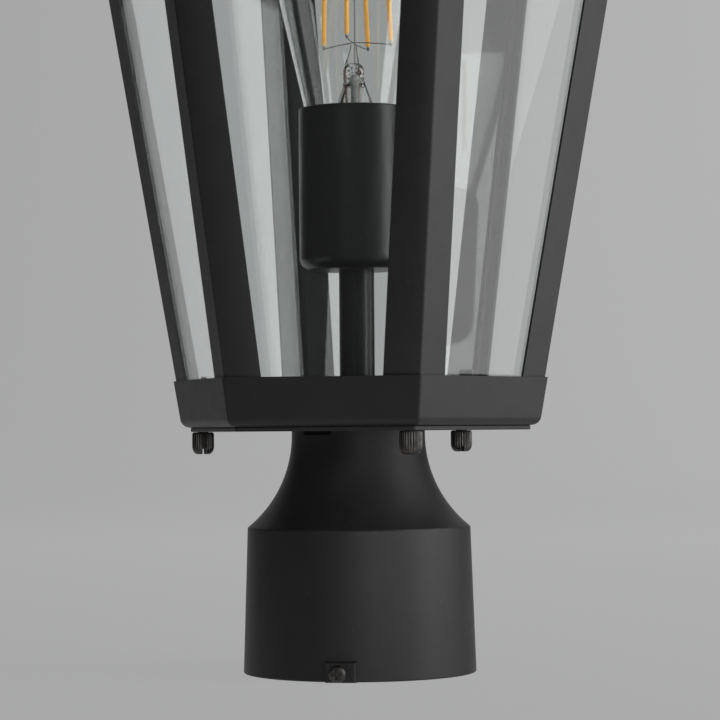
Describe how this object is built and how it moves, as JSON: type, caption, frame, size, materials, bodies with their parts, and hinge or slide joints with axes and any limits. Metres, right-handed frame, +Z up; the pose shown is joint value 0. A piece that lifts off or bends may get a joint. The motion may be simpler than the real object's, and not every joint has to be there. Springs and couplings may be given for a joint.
{
  "type": "post top lantern",
  "caption": "Hexagonal post top lantern with tapering clear panes between folded corner ribs, a hipped roof with finial, and a flared fitter that slips over a post.",
  "frame": {"origin": "on the lantern's axis at the bottom rim of the post fitter", "axes": "+Z up along the lantern's axis, -Y towards the middle of the front pane, +X towards a corner of the hexagon"},
  "size_m": [0.2396, 0.208, 0.4409],
  "materials": {
    "black_powder_coat": "satin black powder coat",
    "black_oxide_steel": "black oxide with bare bronze edges",
    "zinc_steel": "bright zinc plate",
    "green_ground_screw": "green zinc",
    "brass": "bright brass",
    "white_porcelain": "glazed porcelain",
    "pane_glass": "clear polished",
    "bulb_glass": "clear blown",
    "nickel_cap": "satin",
    "black_vitrite": "fired black glass",
    "solder": "soft solder",
    "filament_phosphor": "amber phosphor, unlit",
    "support_wire": "drawn wire"
  },
  "bodies": {
    "base": {"post_fitter": "black_powder_coat", "base_plate": "black_powder_coat", "ground_screw": "green_ground_screw", "toothed_washer": "zinc_steel", "lower_pipe_nut": "zinc_steel", "upper_pipe_nut": "zinc_steel", "threaded_pipe": "zinc_steel", "stem_tube": "black_powder_coat", "socket_cup": "black_powder_coat", "socket_bracket": "zinc_steel", "bracket_screws": "zinc_steel", "terminal_screws": "brass", "socket_insulator": "white_porcelain", "screw_shell": "brass", "centre_contact": "brass"},
    "cage": {"tray": "black_powder_coat", "top_frame": "black_powder_coat", "upper_glass_clips": "black_powder_coat", "corner_rib_1": "black_powder_coat", "corner_rib_2": "black_powder_coat", "corner_rib_3": "black_powder_coat", "corner_rib_4": "black_powder_coat", "corner_rib_5": "black_powder_coat", "corner_rib_6": "black_powder_coat", "glass_pane_1": "pane_glass", "glass_pane_2": "pane_glass", "glass_pane_3": "pane_glass", "glass_pane_4": "pane_glass", "glass_pane_5": "pane_glass", "glass_pane_6": "pane_glass", "cage_stud_1": "black_oxide_steel", "cage_stud_2": "black_oxide_steel", "cage_stud_3": "black_oxide_steel", "glass_clip_1": "black_powder_coat", "glass_clip_2": "black_powder_coat", "glass_clip_3": "black_powder_coat", "roof_bridge": "zinc_steel", "bridge_screws": "zinc_steel", "roof_stud": "zinc_steel", "roof_stud_nuts": "zinc_steel", "roof": "black_powder_coat", "vent_collar": "black_powder_coat", "roof_cap": "black_powder_coat", "finial": "black_powder_coat"},
    "bulb": {"bulb_glass": "bulb_glass", "bulb_cap": "nickel_cap", "bulb_black_glass": "black_vitrite", "bulb_tip_contact": "solder", "glass_mount": "bulb_glass", "filaments": "filament_phosphor", "support_wires": "support_wire"},
    "thumb_nut_1_body": {"thumb_nut_1": "black_oxide_steel"},
    "thumb_nut_2_body": {"thumb_nut_2": "black_oxide_steel"},
    "thumb_nut_3_body": {"thumb_nut_3": "black_oxide_steel"},
    "set_screw_1_body": {"set_screw_1": "black_oxide_steel"},
    "set_screw_2_body": {"set_screw_2": "black_oxide_steel"}
  },
  "joints": [
    {"name": "cage_lift", "type": "slide", "parent": "base", "child": "cage", "axis": [0, 0, 1], "range_m": [0, 0.25]},
    {"name": "bulb_unscrew", "type": "slide", "parent": "base", "child": "bulb", "axis": [0, 0, 1], "range_m": [0, 0.024]},
    {"name": "thumb_nut_1_turn", "type": "hinge", "parent": "base", "child": "thumb_nut_1_body", "pos_m": [0.02899, 0.05022, 0.0824], "axis": [0, 0, 1], "continuous": true},
    {"name": "thumb_nut_2_turn", "type": "hinge", "parent": "base", "child": "thumb_nut_2_body", "pos_m": [-0.05798, 0, 0.0824], "axis": [0, 0, 1], "continuous": true},
    {"name": "thumb_nut_3_turn", "type": "hinge", "parent": "base", "child": "thumb_nut_3_body", "pos_m": [0.02899, -0.05022, 0.0824], "axis": [0, 0, 1], "continuous": true},
    {"name": "set_screw_1_drive", "type": "slide", "parent": "base", "child": "set_screw_1_body", "axis": [-0.0523, 0.9986, 0], "range_m": [-0.004, 0.0022]},
    {"name": "set_screw_2_drive", "type": "slide", "parent": "base", "child": "set_screw_2_body", "axis": [0.0523, -0.9986, 0], "range_m": [-0.004, 0.0022]}
  ]
}
